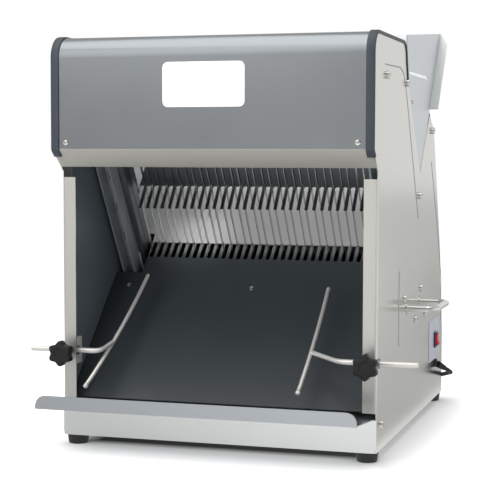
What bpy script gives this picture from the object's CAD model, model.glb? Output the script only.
"""Looks of a tabletop bread slicer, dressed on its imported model, in metres."""

import logging
import math
from dataclasses import dataclass, field
from enum import Enum
from typing import Mapping, Optional, Sequence, Union

import bmesh
import bpy
from mathutils import Matrix, Vector


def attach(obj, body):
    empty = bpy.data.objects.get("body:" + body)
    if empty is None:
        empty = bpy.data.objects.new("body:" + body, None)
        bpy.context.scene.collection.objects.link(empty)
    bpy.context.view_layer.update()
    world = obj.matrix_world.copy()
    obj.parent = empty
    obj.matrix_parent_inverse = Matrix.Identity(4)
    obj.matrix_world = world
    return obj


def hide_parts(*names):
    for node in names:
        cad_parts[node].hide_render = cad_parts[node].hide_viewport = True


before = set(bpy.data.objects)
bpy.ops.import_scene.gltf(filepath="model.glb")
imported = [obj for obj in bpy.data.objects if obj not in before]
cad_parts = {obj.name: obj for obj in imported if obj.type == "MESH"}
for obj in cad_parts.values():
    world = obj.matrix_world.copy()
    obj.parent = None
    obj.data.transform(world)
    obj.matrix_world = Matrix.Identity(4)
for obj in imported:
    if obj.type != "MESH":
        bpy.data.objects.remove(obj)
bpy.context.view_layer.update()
LOG = logging.getLogger("bread_slicer")

MM = 0.001
# Depth of the row frame's origin behind the front face of the posts, in millimetres
MID_Y = 222.75
# Faces that meet at more than this angle keep a crisp edge
CRISP = math.radians(32)
# Points nearer than this are one point, in metres
WELD = 0.000002
MATH = "ShaderNodeMath"
REAL = "NodeSocketFloat"

Pair = tuple[float, float]
Triple = tuple[float, float, float]
Socket = bpy.types.NodeSocket


def at(x: float, y: float, z: float) -> Vector:
    """Turn a bench point into the row frame.

    Args:
        x: Millimetres to the operator's right of the middle.
        y: Millimetres behind the front face of the posts.
        z: Millimetres above the worktop.

    Returns:
        The point in metres.
    """
    return Vector((x, y - MID_Y, z)) * MM


def tilted(origin: Pair, angle: float, along: float, above: float) -> Pair:
    """Place a point on a sloping plane that runs across the machine.

    Args:
        origin: Depth and height of the plane's zero point, in millimetres.
        angle: Slope of the plane in degrees.
        along: Millimetres up the slope.
        above: Millimetres square to the slope.

    Returns:
        Depth and height in millimetres.
    """
    a = math.radians(angle)
    return (origin[0] + along * math.cos(a) - above * math.sin(a),
            origin[1] + along * math.sin(a) + above * math.cos(a))


class Body(Enum):
    """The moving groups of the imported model."""

    MACHINE = "machine"
    TRAY = "tray"
    FRONT_FRAME = "front_frame"
    REAR_FRAME = "rear_frame"
    LEFT_BAR = "left_bar"
    RIGHT_BAR = "right_bar"
    LEFT_KNOB = "left_knob"
    RIGHT_KNOB = "right_knob"
    ROCKER = "rocker"


class Side(Enum):
    """A side of the machine, as the operator sees it."""

    LEFT = -1
    RIGHT = 1


class Axis(Enum):
    """The way that a plate is thick, as the places of its two sides and its thickness."""

    X = (1, 2, 0)
    Y = (0, 2, 1)

    def point(self, a: float, b: float, t: float) -> Vector:
        """Give the row-frame point of a plate's outline at a thickness.

        Args:
            a: The first place along the outline's plane, in bench millimetres.
            b: The second place.
            t: The place through the thickness.

        Returns:
            The point in metres.
        """
        spot = [0.0, 0.0, 0.0]
        for place, value in zip(self.value, (a, b, t)):
            spot[place] = value
        return at(*spot)


class Grain(Enum):
    """The way that the brush or the grinding wheel ran over a sheet."""

    ACROSS = (1.0, 0.0, 0.0)
    DEPTH = (0.0, 1.0, 0.0)
    UPRIGHT = (0.0, 0.0, 1.0)


def linear(code: str) -> tuple[float, float, float, float]:
    """Turn an sRGB hex colour into linear light.

    Args:
        code: Six hex digits after a hash sign.

    Returns:
        Linear red, green and blue, and an alpha of one.
    """
    parts = [int(code[i:i + 2], 16) / 255 for i in (1, 3, 5)]
    lin = [c / 12.92 if c <= 0.04045 else ((c + 0.055) / 1.055) ** 2.4 for c in parts]
    return (lin[0], lin[1], lin[2], 1.0)


def add_node(tree: bpy.types.NodeTree, kind: str,
             inputs: Optional[dict[Union[str, int], object]] = None,
             **settings: object) -> bpy.types.Node:
    """Add one node with its settings and its links.

    Args:
        tree: The tree that gets the node.
        kind: The node's type.
        inputs: A value, a socket or a list of sockets for each input by name or number.
        settings: Attributes of the node.

    Returns:
        The new node.
    """
    node = tree.nodes.new(kind)
    for key, value in settings.items():
        setattr(node, key, value)
    for key, value in (inputs or {}).items():
        for one in value if isinstance(value, list) else [value]:
            if isinstance(one, Socket):
                tree.links.new(one, node.inputs[key])
            else:
                node.inputs[key].default_value = one
    return node


@dataclass(frozen=True)
class Ramp:
    """How one value follows another between two ends."""

    start: float
    end: float
    low: float = 0.0
    high: float = 1.0

    def of(self, value: Socket) -> dict[Union[str, int], object]:
        """Give the inputs of a node that follows a value."""
        return {"Value": value, "From Min": self.start, "From Max": self.end,
                "To Min": self.low, "To Max": self.high}


@dataclass(frozen=True)
class Finish:
    """A surface with a fine pattern that shifts its colour, gloss and relief."""

    name: str
    slot: str
    colour: str
    roughness: float
    spread: float = 0.06
    cell_mm: float = 1.0
    relief_mm: float = 0.02
    shade: float = 0.06
    metallic: float = 0.0
    coat: float = 0.0
    wear_mm: float = 60.0
    # Roughness of faces that look to the front or the back, or nothing for the same all round
    edge_roughness: float = 0.0
    # Colour that rubbing leaves on the upper part, and the heights where it starts and is full
    rubbed: str = ""
    rubbed_mm: Pair = (0.0, 1.0)
    bump: float = 0.5
    coat_roughness: float = 0.12
    # A face looks to the front or the back where its normal leans that far
    end_lean: float = 0.7

    def pattern(self, tree: bpy.types.NodeTree) -> Socket:
        """Give the fine pattern of the surface, even in every direction.

        Args:
            tree: The material's tree.

        Returns:
            A value from zero to one.
        """
        place = add_node(tree, "ShaderNodeTexCoord").outputs["Object"]
        return add_node(tree, "ShaderNodeTexNoise", {
            "Vector": place, "Scale": 1 / (self.cell_mm * MM), "Detail": 3.0,
            "Roughness": 0.6}).outputs["Fac"]

    def material(self) -> bpy.types.Material:
        """Give the material of this finish, built once.

        Returns:
            The material.
        """
        known = bpy.data.materials.get(self.name)
        if known is not None:
            return known
        made = bpy.data.materials.new(self.name)
        made.use_nodes = True
        tree = made.node_tree
        tree.nodes.clear()
        fine = self.pattern(tree)
        place = add_node(tree, "ShaderNodeTexCoord").outputs["Object"]
        # Slow drift over a hand's width, as rolling and wiping leave on a surface
        slow = add_node(tree, "ShaderNodeTexNoise", {
            "Vector": place, "Scale": 1 / (self.wear_mm * MM), "Detail": 2.0}).outputs["Fac"]
        both = add_node(tree, MATH, {0: fine, 1: slow}, operation="ADD").outputs[0]
        base = Vector(linear(self.colour)[:3])
        low, high = base * (1 - self.shade), base * (1 + self.shade)
        mean = add_node(tree, MATH, {0: both, 1: 0.5}, operation="MULTIPLY").outputs[0]
        tint = add_node(tree, "ShaderNodeMix", {
            "Factor": mean, 6: (*low, 1.0), 7: (*high, 1.0)}, data_type="RGBA").outputs[2]
        if self.rubbed:
            height = add_node(tree, "ShaderNodeSeparateXYZ", {"Vector": place}).outputs["Z"]
            start, full = self.rubbed_mm
            bare = add_node(tree, "ShaderNodeMapRange", Ramp(start * MM, full * MM).of(height),
                            interpolation_type="SMOOTHSTEP").outputs["Result"]
            tint = add_node(tree, "ShaderNodeMix", {
                "Factor": bare, 6: tint, 7: linear(self.rubbed)}, data_type="RGBA").outputs[2]
        gloss = Ramp(0.5, 1.5, max(0.02, self.roughness - self.spread),
                     min(1.0, self.roughness + self.spread))
        rough = add_node(tree, "ShaderNodeMapRange", gloss.of(both)).outputs["Result"]
        if self.edge_roughness:
            look = add_node(tree, "ShaderNodeNewGeometry").outputs["Normal"]
            depth = add_node(tree, "ShaderNodeSeparateXYZ", {"Vector": look}).outputs["Y"]
            turned = add_node(tree, MATH, {0: depth}, operation="ABSOLUTE").outputs[0]
            ends = add_node(tree, MATH, {0: turned, 1: self.end_lean},
                            operation="GREATER_THAN").outputs[0]
            rough = add_node(tree, "ShaderNodeMix", {
                "Factor": ends, 2: rough, 3: self.edge_roughness}).outputs[0]
        relief = add_node(tree, "ShaderNodeBump", {
            "Height": fine, "Strength": self.bump,
            "Distance": self.relief_mm * MM}).outputs["Normal"]
        shader = add_node(tree, "ShaderNodeBsdfPrincipled", {
            "Base Color": tint, "Roughness": rough, "Normal": relief, "Metallic": self.metallic,
            "Coat Weight": self.coat, "Coat Roughness": self.coat_roughness})
        add_node(tree, "ShaderNodeOutputMaterial", {"Surface": shader.outputs[0]})
        return made


@dataclass(frozen=True)
class BrushedSteel(Finish):
    """Sheet steel with long scratches that all run one way."""

    grain: Grain = Grain.ACROSS
    length_mm: float = 70.0

    def pattern(self, tree: bpy.types.NodeTree) -> Socket:
        """Give the scratches, long along the grain and fine across it.

        Args:
            tree: The material's tree.

        Returns:
            A value from zero to one.
        """
        across, along = 1 / (self.cell_mm * MM), 1 / (self.length_mm * MM)
        scale = tuple(along if g else across for g in self.grain.value)
        place = add_node(tree, "ShaderNodeTexCoord").outputs["Object"]
        drawn = add_node(tree, "ShaderNodeMapping", {"Vector": place, "Scale": scale})
        return add_node(tree, "ShaderNodeTexNoise", {
            "Vector": drawn.outputs["Vector"], "Scale": 1.0, "Detail": 4.0,
            "Roughness": 0.7}).outputs["Fac"]


# Cold-rolled stainless brushed along the width: a satin sheet that smears what it mirrors.
# Real brush lines are near 0.05 mm, drawn at 0.7 mm so that they show.
HOOD_STEEL = BrushedSteel("satin_brushed_stainless", "satin_stainless", "#93979a", 0.3, 0.03,
                          0.7, 0.003, 0.03, 1.0, grain=Grain.ACROSS)
# The hood's turned-under lip, blasted before folding: it scatters the light from below.
LIP_STEEL = BrushedSteel("folded_satin_stainless", "satin_stainless", "#aaa8a1", 0.5, 0.04,
                         0.7, 0.004, 0.03, 0.45, grain=Grain.ACROSS)
# The folded sheets below, brushed lighter and left clean.
BASE_STEEL = BrushedSteel("pale_brushed_stainless", "satin_stainless", "#e4e6e6", 0.26, 0.025,
                          0.7, 0.002, 0.015, 1.0, grain=Grain.ACROSS)
# Tray sheet brushed up and down: a blue grey with fine upright lines.
TRAY_STEEL = BrushedSteel("upright_brushed_stainless", "satin_stainless", "#b7bcc0", 0.3, 0.05,
                          0.7, 0.003, 0.04, 1.0, grain=Grain.UPRIGHT)
# The same sheet left near its mill gloss: clear but soft mirror images, a warm grey. The
# folded posts are brushed by hand, so they only glow.
PANEL_STEEL = BrushedSteel("bright_rolled_stainless", "bright_stainless", "#d6d5d0", 0.2, 0.03,
                           0.8, 0.002, 0.02, 1.0, edge_roughness=0.44,
                           grain=Grain.UPRIGHT)
# Cooler, flatter light on the bare infeed sheets.
CHEEK_STEEL = BrushedSteel("cool_rolled_stainless", "bright_stainless", "#d8dcdf", 0.42, 0.03,
                           0.8, 0.002, 0.02, 1.0, grain=Grain.DEPTH)
# Sheet that bread has polished, with bright streaks down the slope. Its upper end, where
# loaves are laid in, is rubbed to a duller grey.
CHUTE_STEEL = BrushedSteel("polished_chute_stainless", "bright_stainless", "#e4e4e2", 0.42, 0.06,
                           0.9, 0.003, 0.05, 0.35, rubbed="#d0d2d1", rubbed_mm=(430.0, 500.0),
                           grain=Grain.DEPTH)
# Dark baked coating on steel plate: even, slightly blue, with a low wide sheen. Bread has
# rubbed the tips of the comb to a pale grey.
DARK_COAT = Finish("dark_baked_coating", "dark_plate", "#31373a", 0.42, 0.05, 0.9, 0.03, 0.08,
                   0.0, 0.15, rubbed="#8e908e", rubbed_mm=(258.0, 284.0))
# The same coating on the inner walls, thinner and paler.
WALL_COAT = Finish("thin_baked_coating", "dark_plate", "#6b757d", 0.46, 0.05, 0.9, 0.03, 0.08,
                   0.0, 0.1)
# Hardened strip, ground across: fine bright cross lines.
BLADE_STEEL = BrushedSteel("ground_blade_strip", "blade_steel", "#d2d3d4", 0.2, 0.05, 0.4, 0.002,
                           0.05, 1.0, grain=Grain.DEPTH, length_mm=12.0)
# Machined bar, dull grey with fine upright lines.
FRAME_STEEL = BrushedSteel("milled_bar_steel", "frame_steel", "#8d9194", 0.36, 0.06, 0.8, 0.006,
                           0.06, 1.0, grain=Grain.UPRIGHT, length_mm=40.0)
# Zinc-plated folded channel: pale, blotchy and dull.
ZINC_SHEET = Finish("zinc_plated_channel", "frame_steel", "#b3b9bd", 0.5, 0.1, 3.0, 0.02, 0.1, 0.5,
                    wear_mm=20.0)
# Stainless comb left with its dull mill finish.
COMB_STEEL = BrushedSteel("dull_rolled_stainless", "dark_plate", "#8f9294", 0.4, 0.05, 0.8, 0.003,
                          0.05, 1.0, grain=Grain.DEPTH)
# Extruded rubber edging: blue-black with a soft wide highlight.
EDGE_RUBBER = Finish("extruded_edge_rubber", "edge_rubber", "#323a41", 0.48, 0.06, 0.5, 0.02, 0.08)
# Moulded black rubber, matt and dusty.
BLACK_RUBBER = Finish("moulded_black_rubber", "black_rubber", "#212326", 0.6, 0.08, 0.6, 0.03,
                      0.12)
# Glass-filled nylon knob: black with a fine spark-eroded grain.
BLACK_PLASTIC = Finish("grained_black_nylon", "black_plastic", "#0c0d0f", 0.5, 0.08, 0.5, 0.04,
                       0.1)
# Natural nylon: milky, slightly waxy.
NYLON = Finish("natural_nylon", "white_nylon", "#e8e6de", 0.42, 0.05, 0.8, 0.02, 0.04)
# Painted grey casting: sandy relief under the paint.
CAST_IRON = Finish("painted_grey_iron", "cast_grey", "#5d6163", 0.55, 0.1, 1.4, 0.12, 0.12)
# Motor enamel: smooth grey gloss.
MOTOR_ENAMEL = Finish("grey_motor_enamel", "motor_grey", "#6f757a", 0.35, 0.05, 1.5, 0.03, 0.06,
                      0.0, 0.3)
# Polished bar: bright with the faint lines of drawing.
BAR_STEEL = BrushedSteel("drawn_bright_bar", "plated_steel", "#e0e0dd", 0.2, 0.04, 0.5, 0.002,
                         0.03, 1.0, grain=Grain.ACROSS, length_mm=30.0)
# Bar dulled by tumbling: pale all round, with no clear mirror image.
DULL_BAR = BrushedSteel("tumbled_steel_bar", "plated_steel", "#dedcd7", 0.34, 0.05, 0.5, 0.003,
                        0.03, 0.6, grain=Grain.ACROSS, length_mm=30.0)
# Zinc-cast clamp under a pale lacquer: dull and even.
CLAMP_CAST = Finish("lacquered_zinc_casting", "plated_steel", "#dedcd6", 0.5, 0.08, 1.2, 0.03,
                    0.06, 0.3)
# Nickel-plated fasteners: small, bright, slightly warm.
SCREW_PLATE = Finish("nickel_plated_screw", "plated_steel", "#dad9d4", 0.22, 0.06, 0.6, 0.01, 0.06,
                     1.0)
# Plate stock: white satin lacquer over aluminium.
PLATE_LACQUER = Finish("white_lacquered_plate", "plate_white", "#f6f7f8", 0.3, 0.04, 0.8, 0.004,
                       0.015, 0.0, 0.3)
# Polyester label film: pale violet grey, flat.
LABEL_FILM = Finish("pale_label_film", "plate_white", "#c6cad8", 0.4, 0.04, 0.7, 0.01, 0.02)
# Moulded switch plastics: a glossy navy bezel and a softer red rocker.
SWITCH_NAVY = Finish("moulded_navy_bezel", "switch_navy", "#232a5c", 0.3, 0.04, 0.6, 0.01, 0.06,
                     0.0, 0.2)
SWITCH_RED = Finish("moulded_red_rocker", "switch_red", "#d8120e", 0.5, 0.04, 0.6, 0.01, 0.04)

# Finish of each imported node, also where a dressed piece takes its place
NODE_FINISH: dict[Finish, tuple[str, ...]] = {
    HOOD_STEEL: ("hood",),
    BASE_STEEL: ("base_pan", "front_base_panel", "tray_rails", "rear_panel", "table_support",
                 "motor_base"),
    TRAY_STEEL: ("crumb_tray",),
    PANEL_STEEL: ("left_side_panel", "right_side_panel"),
    CHEEK_STEEL: ("left_cheek", "right_cheek"),
    CHUTE_STEEL: ("infeed_floor",),
    DARK_COAT: ("outfeed_table",),
    WALL_COAT: ("left_inner_wall", "right_inner_wall"),
    COMB_STEEL: ("loaf_hold_down",),
    ZINC_SHEET: ("left_guide_channel", "right_guide_channel"),
    FRAME_STEEL: ("front_blade_frame", "rear_blade_frame", "eccentric_shaft", "motor_rotor",
                  "front_conrods", "rear_conrods", "left_clamp_bush", "right_clamp_bush"),
    BLADE_STEEL: ("front_blades", "rear_blades"),
    EDGE_RUBBER: ("left_edge_trim", "right_edge_trim"),
    BLACK_RUBBER: ("feet", "drive_belt", "cable_gland", "power_cord", "cord_coil"),
    BLACK_PLASTIC: ("left_clamp_knob", "right_clamp_knob", "cord_tie", "mains_plug"),
    NYLON: ("front_slide_shoes", "rear_slide_shoes"),
    CAST_IRON: ("shaft_bearings", "driven_pulley", "motor_pulley"),
    MOTOR_ENAMEL: ("motor_housing",),
    BAR_STEEL: ("left_carry_handle", "right_carry_handle"),
    DULL_BAR: ("left_guide_bar", "right_guide_bar"),
    CLAMP_CAST: ("clamp_blocks",),
    SCREW_PLATE: ("hood_screws", "table_screws", "cheek_screws", "side_bolts"),
    PLATE_LACQUER: ("name_plate",),
    LABEL_FILM: ("switch_plate",),
    SWITCH_NAVY: ("switch_bezel",),
    SWITCH_RED: ("switch_rocker",),
}


def smooth(mesh: bpy.types.Mesh) -> None:
    """Shade a mesh smooth, with crisp edges where its faces turn sharply."""
    mesh.shade_smooth()
    mesh.set_sharp_from_angle(angle=CRISP)


def settle(obj: bpy.types.Object, body: Body, stands_for: Sequence[str]) -> None:
    """Hand a finished piece to its body.

    Args:
        obj: The piece, in place in the row frame.
        body: What it moves with.
        stands_for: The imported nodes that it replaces.
    """
    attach(obj, body.value)
    if stands_for:
        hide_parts(*stands_for)
    LOG.info("%s rides on %s", obj.name, body.value)


class Mould:
    """A mesh that is put together in bench millimetres."""

    def __init__(self) -> None:
        """Start with an empty mesh."""
        self.bm = bmesh.new()

    def ring(self, points: Sequence[Vector]) -> list[bmesh.types.BMVert]:
        """Add a ring of points and give its vertices."""
        return [self.bm.verts.new(p) for p in points]

    def bridge(self, rings: Sequence[Sequence[bmesh.types.BMVert]]) -> None:
        """Join rings of equal length into a skin with a cap at each end.

        Args:
            rings: The rings in order.
        """
        for low, high in zip(rings, rings[1:]):
            for i, vert in enumerate(low):
                k = (i + 1) % len(low)
                self.bm.faces.new((vert, low[k], high[k], high[i]))
        self.bm.faces.new(rings[0])
        self.bm.faces.new(rings[-1])

    def prism(self, outline: Sequence[Pair], t0: float, t1: float, axis: Axis = Axis.X) -> None:
        """Add a plate.

        Args:
            outline: Its corners in the plane square to the axis.
            t0: Where its thickness starts.
            t1: Where its thickness ends.
            axis: The way that it is thick.
        """
        self.bridge([self.ring([axis.point(a, b, t) for a, b in outline]) for t in (t0, t1)])

    def pierced(self, outline: Sequence[Pair], holes: Sequence[Sequence[Pair]], t0: float,
                t1: float) -> None:
        """Add an upright side plate with holes.

        Args:
            outline: Depth and height of its corners.
            holes: The corners of each hole.
            t0: Where its thickness starts.
            t1: Where its thickness ends.
        """
        edges = []
        for loop in (outline, *holes):
            ring = self.ring([at(t0, y, z) for y, z in loop])
            edges += [self.bm.edges.new((v, w)) for v, w in zip(ring, ring[1:] + ring[:1])]
        skin = bmesh.ops.triangle_fill(self.bm, edges=edges, use_beauty=True)["geom"]
        faces = [f for f in skin if isinstance(f, bmesh.types.BMFace)]
        moved = bmesh.ops.extrude_face_region(self.bm, geom=faces, use_keep_orig=True)["geom"]
        bmesh.ops.translate(self.bm, vec=((t1 - t0) * MM, 0, 0),
                            verts=[v for v in moved if isinstance(v, bmesh.types.BMVert)])

    def tube(self, path: Sequence[Vector], widths: Sequence[float], sides: int = 20) -> None:
        """Add a round bar along a path.

        Args:
            path: Its centreline in bench millimetres.
            widths: Its diameter at each point.
            sides: Number of sides.
        """
        way = (path[1] - path[0]).normalized()
        side = way.orthogonal().normalized()
        rings = []
        for i, point in enumerate(path):
            ahead = (path[min(i + 1, len(path) - 1)] - path[max(i - 1, 0)]).normalized()
            side = (way.rotation_difference(ahead) @ side).normalized()
            way = ahead
            other = way.cross(side)
            turn = [math.tau * k / sides for k in range(sides)]
            rings.append(self.ring([
                at(*(point + widths[i] / 2 * (math.cos(a) * side + math.sin(a) * other)))
                for a in turn]))
        self.bridge(rings)

    def lathe(self, profile: Sequence[Pair], sides: int, place: Matrix) -> None:
        """Add a turned shape.

        Args:
            profile: Radius and height from one end to the other, in millimetres.
            sides: Number of sides.
            place: From the lathe's axis, along Z in millimetres, to bench millimetres.
        """
        rings = []
        for radius, height in profile:
            turn = [math.tau * i / sides for i in range(sides)]
            rings.append(self.ring([
                at(*(place @ Vector((radius * math.cos(a), radius * math.sin(a), height))))
                for a in turn]))
        self.bridge(rings)

    def sweep(self, section: Sequence[Pair], path: Sequence[Pair]) -> None:
        """Add a strip that follows a path in the plane of depth and height.

        Args:
            section: Place across the machine and distance to the left of the path.
            path: Depth and height of the points.
        """
        steps = left_steps(path)
        self.bridge([
            self.ring([at(x, p[0] + n * s[0], p[1] + n * s[1]) for x, n in section])
            for p, s in zip(path, steps)])

    def soften(self, width: float, rounds: int = 2, angle: float = 40.0) -> None:
        """Round every edge that is sharper than an angle.

        Args:
            width: Width of the rounding in millimetres.
            rounds: Number of steps in it.
            angle: The angle in degrees.
        """
        bmesh.ops.recalc_face_normals(self.bm, faces=self.bm.faces)
        edges = [e for e in self.bm.edges
                 if len(e.link_faces) == 2 and e.calc_face_angle(0) > math.radians(angle)]
        bmesh.ops.bevel(self.bm, geom=edges, offset=width * MM, segments=rounds, profile=0.5,
                        affect="EDGES", clamp_overlap=True)

    def piece(self, name: str, body: Body, finish: Finish,
              stands_for: Sequence[str] = ()) -> bpy.types.Object:
        """Turn the mesh into a piece of the machine.

        Args:
            name: The piece's name.
            body: What it moves with.
            finish: Its surface.
            stands_for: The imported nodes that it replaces.

        Returns:
            The new object.
        """
        bmesh.ops.remove_doubles(self.bm, verts=self.bm.verts, dist=WELD)
        bmesh.ops.recalc_face_normals(self.bm, faces=self.bm.faces)
        mesh = bpy.data.meshes.new(name)
        self.bm.to_mesh(mesh)
        self.bm.free()
        smooth(mesh)
        mesh.materials.append(finish.material())
        obj = bpy.data.objects.new(name, mesh)
        bpy.context.scene.collection.objects.link(obj)
        settle(obj, body, stands_for)
        return obj


def left_steps(path: Sequence[Pair]) -> list[Pair]:
    """Give the step that moves each point of a path one unit to its left.

    Args:
        path: The points.

    Returns:
        One step for each point, mitred at the corners.
    """
    sides = []
    for a, b in zip(path, path[1:]):
        size = math.hypot(b[0] - a[0], b[1] - a[1])
        sides.append(((a[1] - b[1]) / size, (b[0] - a[0]) / size))
    steps = [sides[0]]
    for n, m in zip(sides, sides[1:]):
        scale = 1 + n[0] * m[0] + n[1] * m[1]
        steps.append(((n[0] + m[0]) / scale, (n[1] + m[1]) / scale))
    return steps + [sides[-1]]


def arc(centre: Pair, radius: float, start: float, end: float, count: int) -> list[Pair]:
    """Give the points of an arc.

    Args:
        centre: Its centre.
        radius: Its radius.
        start: First angle in degrees.
        end: Last angle in degrees.
        count: Number of steps.

    Returns:
        The points, ends included.
    """
    turns = [math.radians(start + (end - start) * i / count) for i in range(count + 1)]
    return [(centre[0] + radius * math.cos(a), centre[1] + radius * math.sin(a)) for a in turns]


def rounded_rect(centre: Pair, size: Pair, radius: float, count: int = 6) -> list[Pair]:
    """Give the outline of a rectangle with round corners.

    Args:
        centre: Its middle.
        size: Its width and height.
        radius: The radius of its corners.
        count: Number of steps in each corner.

    Returns:
        The points, counterclockwise.
    """
    outline = []
    for k, (sx, sy) in enumerate(((1, 1), (-1, 1), (-1, -1), (1, -1))):
        corner = (centre[0] + sx * (size[0] / 2 - radius), centre[1] + sy * (size[1] / 2 - radius))
        outline += arc(corner, radius, 90 * k, 90 * k + 90, count)
    return outline


def eased(points: Sequence[Vector], radius: float, count: int = 8) -> list[Vector]:
    """Round the corners of a path.

    Args:
        points: The path with sharp corners.
        radius: Distance from each corner where its rounding starts.
        count: Number of steps in each corner.

    Returns:
        The rounded path.
    """
    path = [points[0]]
    for a, b, c in zip(points, points[1:], points[2:]):
        start = b + (a - b).normalized() * radius
        end = b + (c - b).normalized() * radius
        for i in range(count + 1):
            t = i / count
            path.append(start * (1 - t) ** 2 + b * 2 * t * (1 - t) + end * t * t)
    return path + [points[-1]]


class Recipe:
    """A tree of geometry nodes with named inputs for its sizes."""

    def __init__(self, name: str, inputs: dict[str, str]) -> None:
        """Start a tree.

        Args:
            name: The tree's name.
            inputs: The kind of socket for each named input.
        """
        self.tree = bpy.data.node_groups.new(name, "GeometryNodeTree")
        face = self.tree.interface
        face.new_socket("Geometry", in_out="INPUT", socket_type="NodeSocketGeometry")
        for label, kind in {**inputs, "Finish": "NodeSocketMaterial"}.items():
            face.new_socket(label, in_out="INPUT", socket_type=kind)
        face.new_socket("Geometry", in_out="OUTPUT", socket_type="NodeSocketGeometry")
        self.given = add_node(self.tree, "NodeGroupInput").outputs

    def node(self, kind: str, inputs: Optional[dict[Union[str, int], object]] = None,
             out: Union[str, int] = 0, **settings: object) -> Socket:
        """Add a node to the tree and give one of its outputs."""
        return add_node(self.tree, kind, inputs, **settings).outputs[out]

    def close(self, shape: Socket) -> None:
        """End the tree with plain geometry that carries the finish.

        Args:
            shape: The geometry, instances included.
        """
        plain = self.node("GeometryNodeRealizeInstances", {"Geometry": shape})
        dressed = self.node("GeometryNodeSetMaterial", {
            "Geometry": plain, "Material": self.given["Finish"]})
        add_node(self.tree, "NodeGroupOutput", {"Geometry": dressed})

    def grow(self, name: str, seed: bpy.types.Mesh, sizes: dict[str, object], body: Body,
             finish: Finish, stands_for: Sequence[str] = ()) -> bpy.types.Object:
        """Run the tree on a seed mesh and keep the result as a plain piece.

        Args:
            name: The piece's name.
            seed: The mesh that the tree starts from.
            sizes: A value for each named input.
            body: What the piece moves with.
            finish: Its surface.
            stands_for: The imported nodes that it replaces.

        Returns:
            The new object.
        """
        obj = bpy.data.objects.new(name, seed)
        bpy.context.scene.collection.objects.link(obj)
        step = obj.modifiers.new("recipe", "NODES")
        step.node_group = self.tree
        values = {**sizes, "Finish": finish.material()}
        for item in self.tree.interface.items_tree:
            if item.in_out == "INPUT" and item.name in values:
                step[item.identifier] = values[item.name]
        bpy.context.view_layer.update()
        ready = obj.evaluated_get(bpy.context.evaluated_depsgraph_get())
        mesh = bpy.data.meshes.new_from_object(ready)
        obj.modifiers.clear()
        obj.data = mesh
        mesh.name = name
        bm = bmesh.new()
        bm.from_mesh(mesh)
        bmesh.ops.remove_doubles(bm, verts=bm.verts, dist=WELD)
        bmesh.ops.recalc_face_normals(bm, faces=bm.faces)
        bm.to_mesh(mesh)
        bm.free()
        smooth(mesh)
        settle(obj, body, stands_for)
        return obj


def seed_points(name: str, places: Sequence[tuple[Vector, Vector]]) -> bpy.types.Mesh:
    """Make a mesh of loose points that each face a way.

    Args:
        name: The mesh's name.
        places: Point and direction pairs in the row frame.

    Returns:
        The mesh, with the direction in an attribute named facing.
    """
    mesh = bpy.data.meshes.new(name)
    mesh.from_pydata([p for p, _ in places], [], [])
    facing = mesh.attributes.new("facing", "FLOAT_VECTOR", "POINT")
    for i, (_, way) in enumerate(places):
        facing.data[i].vector = way
    return mesh


@dataclass(frozen=True)
class Lamp:
    """One lamp of the studio, placed in bench millimetres."""

    name: str
    place: Triple
    aim: Triple
    power: float
    # Side of a soft square lamp in metres, or nothing for a narrow beam
    size: float = 0.0
    # Angle of a narrow beam in degrees, and the radius of its bulb in metres
    angle: float = 0.0
    bulb: float = 0.02
    # True if the sheets mirror it
    mirrored: bool = True

    def hang(self) -> None:
        """Make the lamp, put it in its place and turn it to its aim."""
        data = bpy.data.lights.new(self.name, "AREA" if self.size else "SPOT")
        data.energy = self.power
        if self.size:
            data.size = self.size
        else:
            data.spot_size = math.radians(self.angle)
            data.spot_blend = 1.0
            data.shadow_soft_size = self.bulb
        obj = bpy.data.objects.new(self.name, data)
        obj.visible_glossy = self.mirrored
        obj.location = at(*self.place)
        way = at(*self.aim) - at(*self.place)
        obj.rotation_euler = way.to_track_quat("-Z", "Y").to_euler()
        bpy.context.scene.collection.objects.link(obj)


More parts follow.
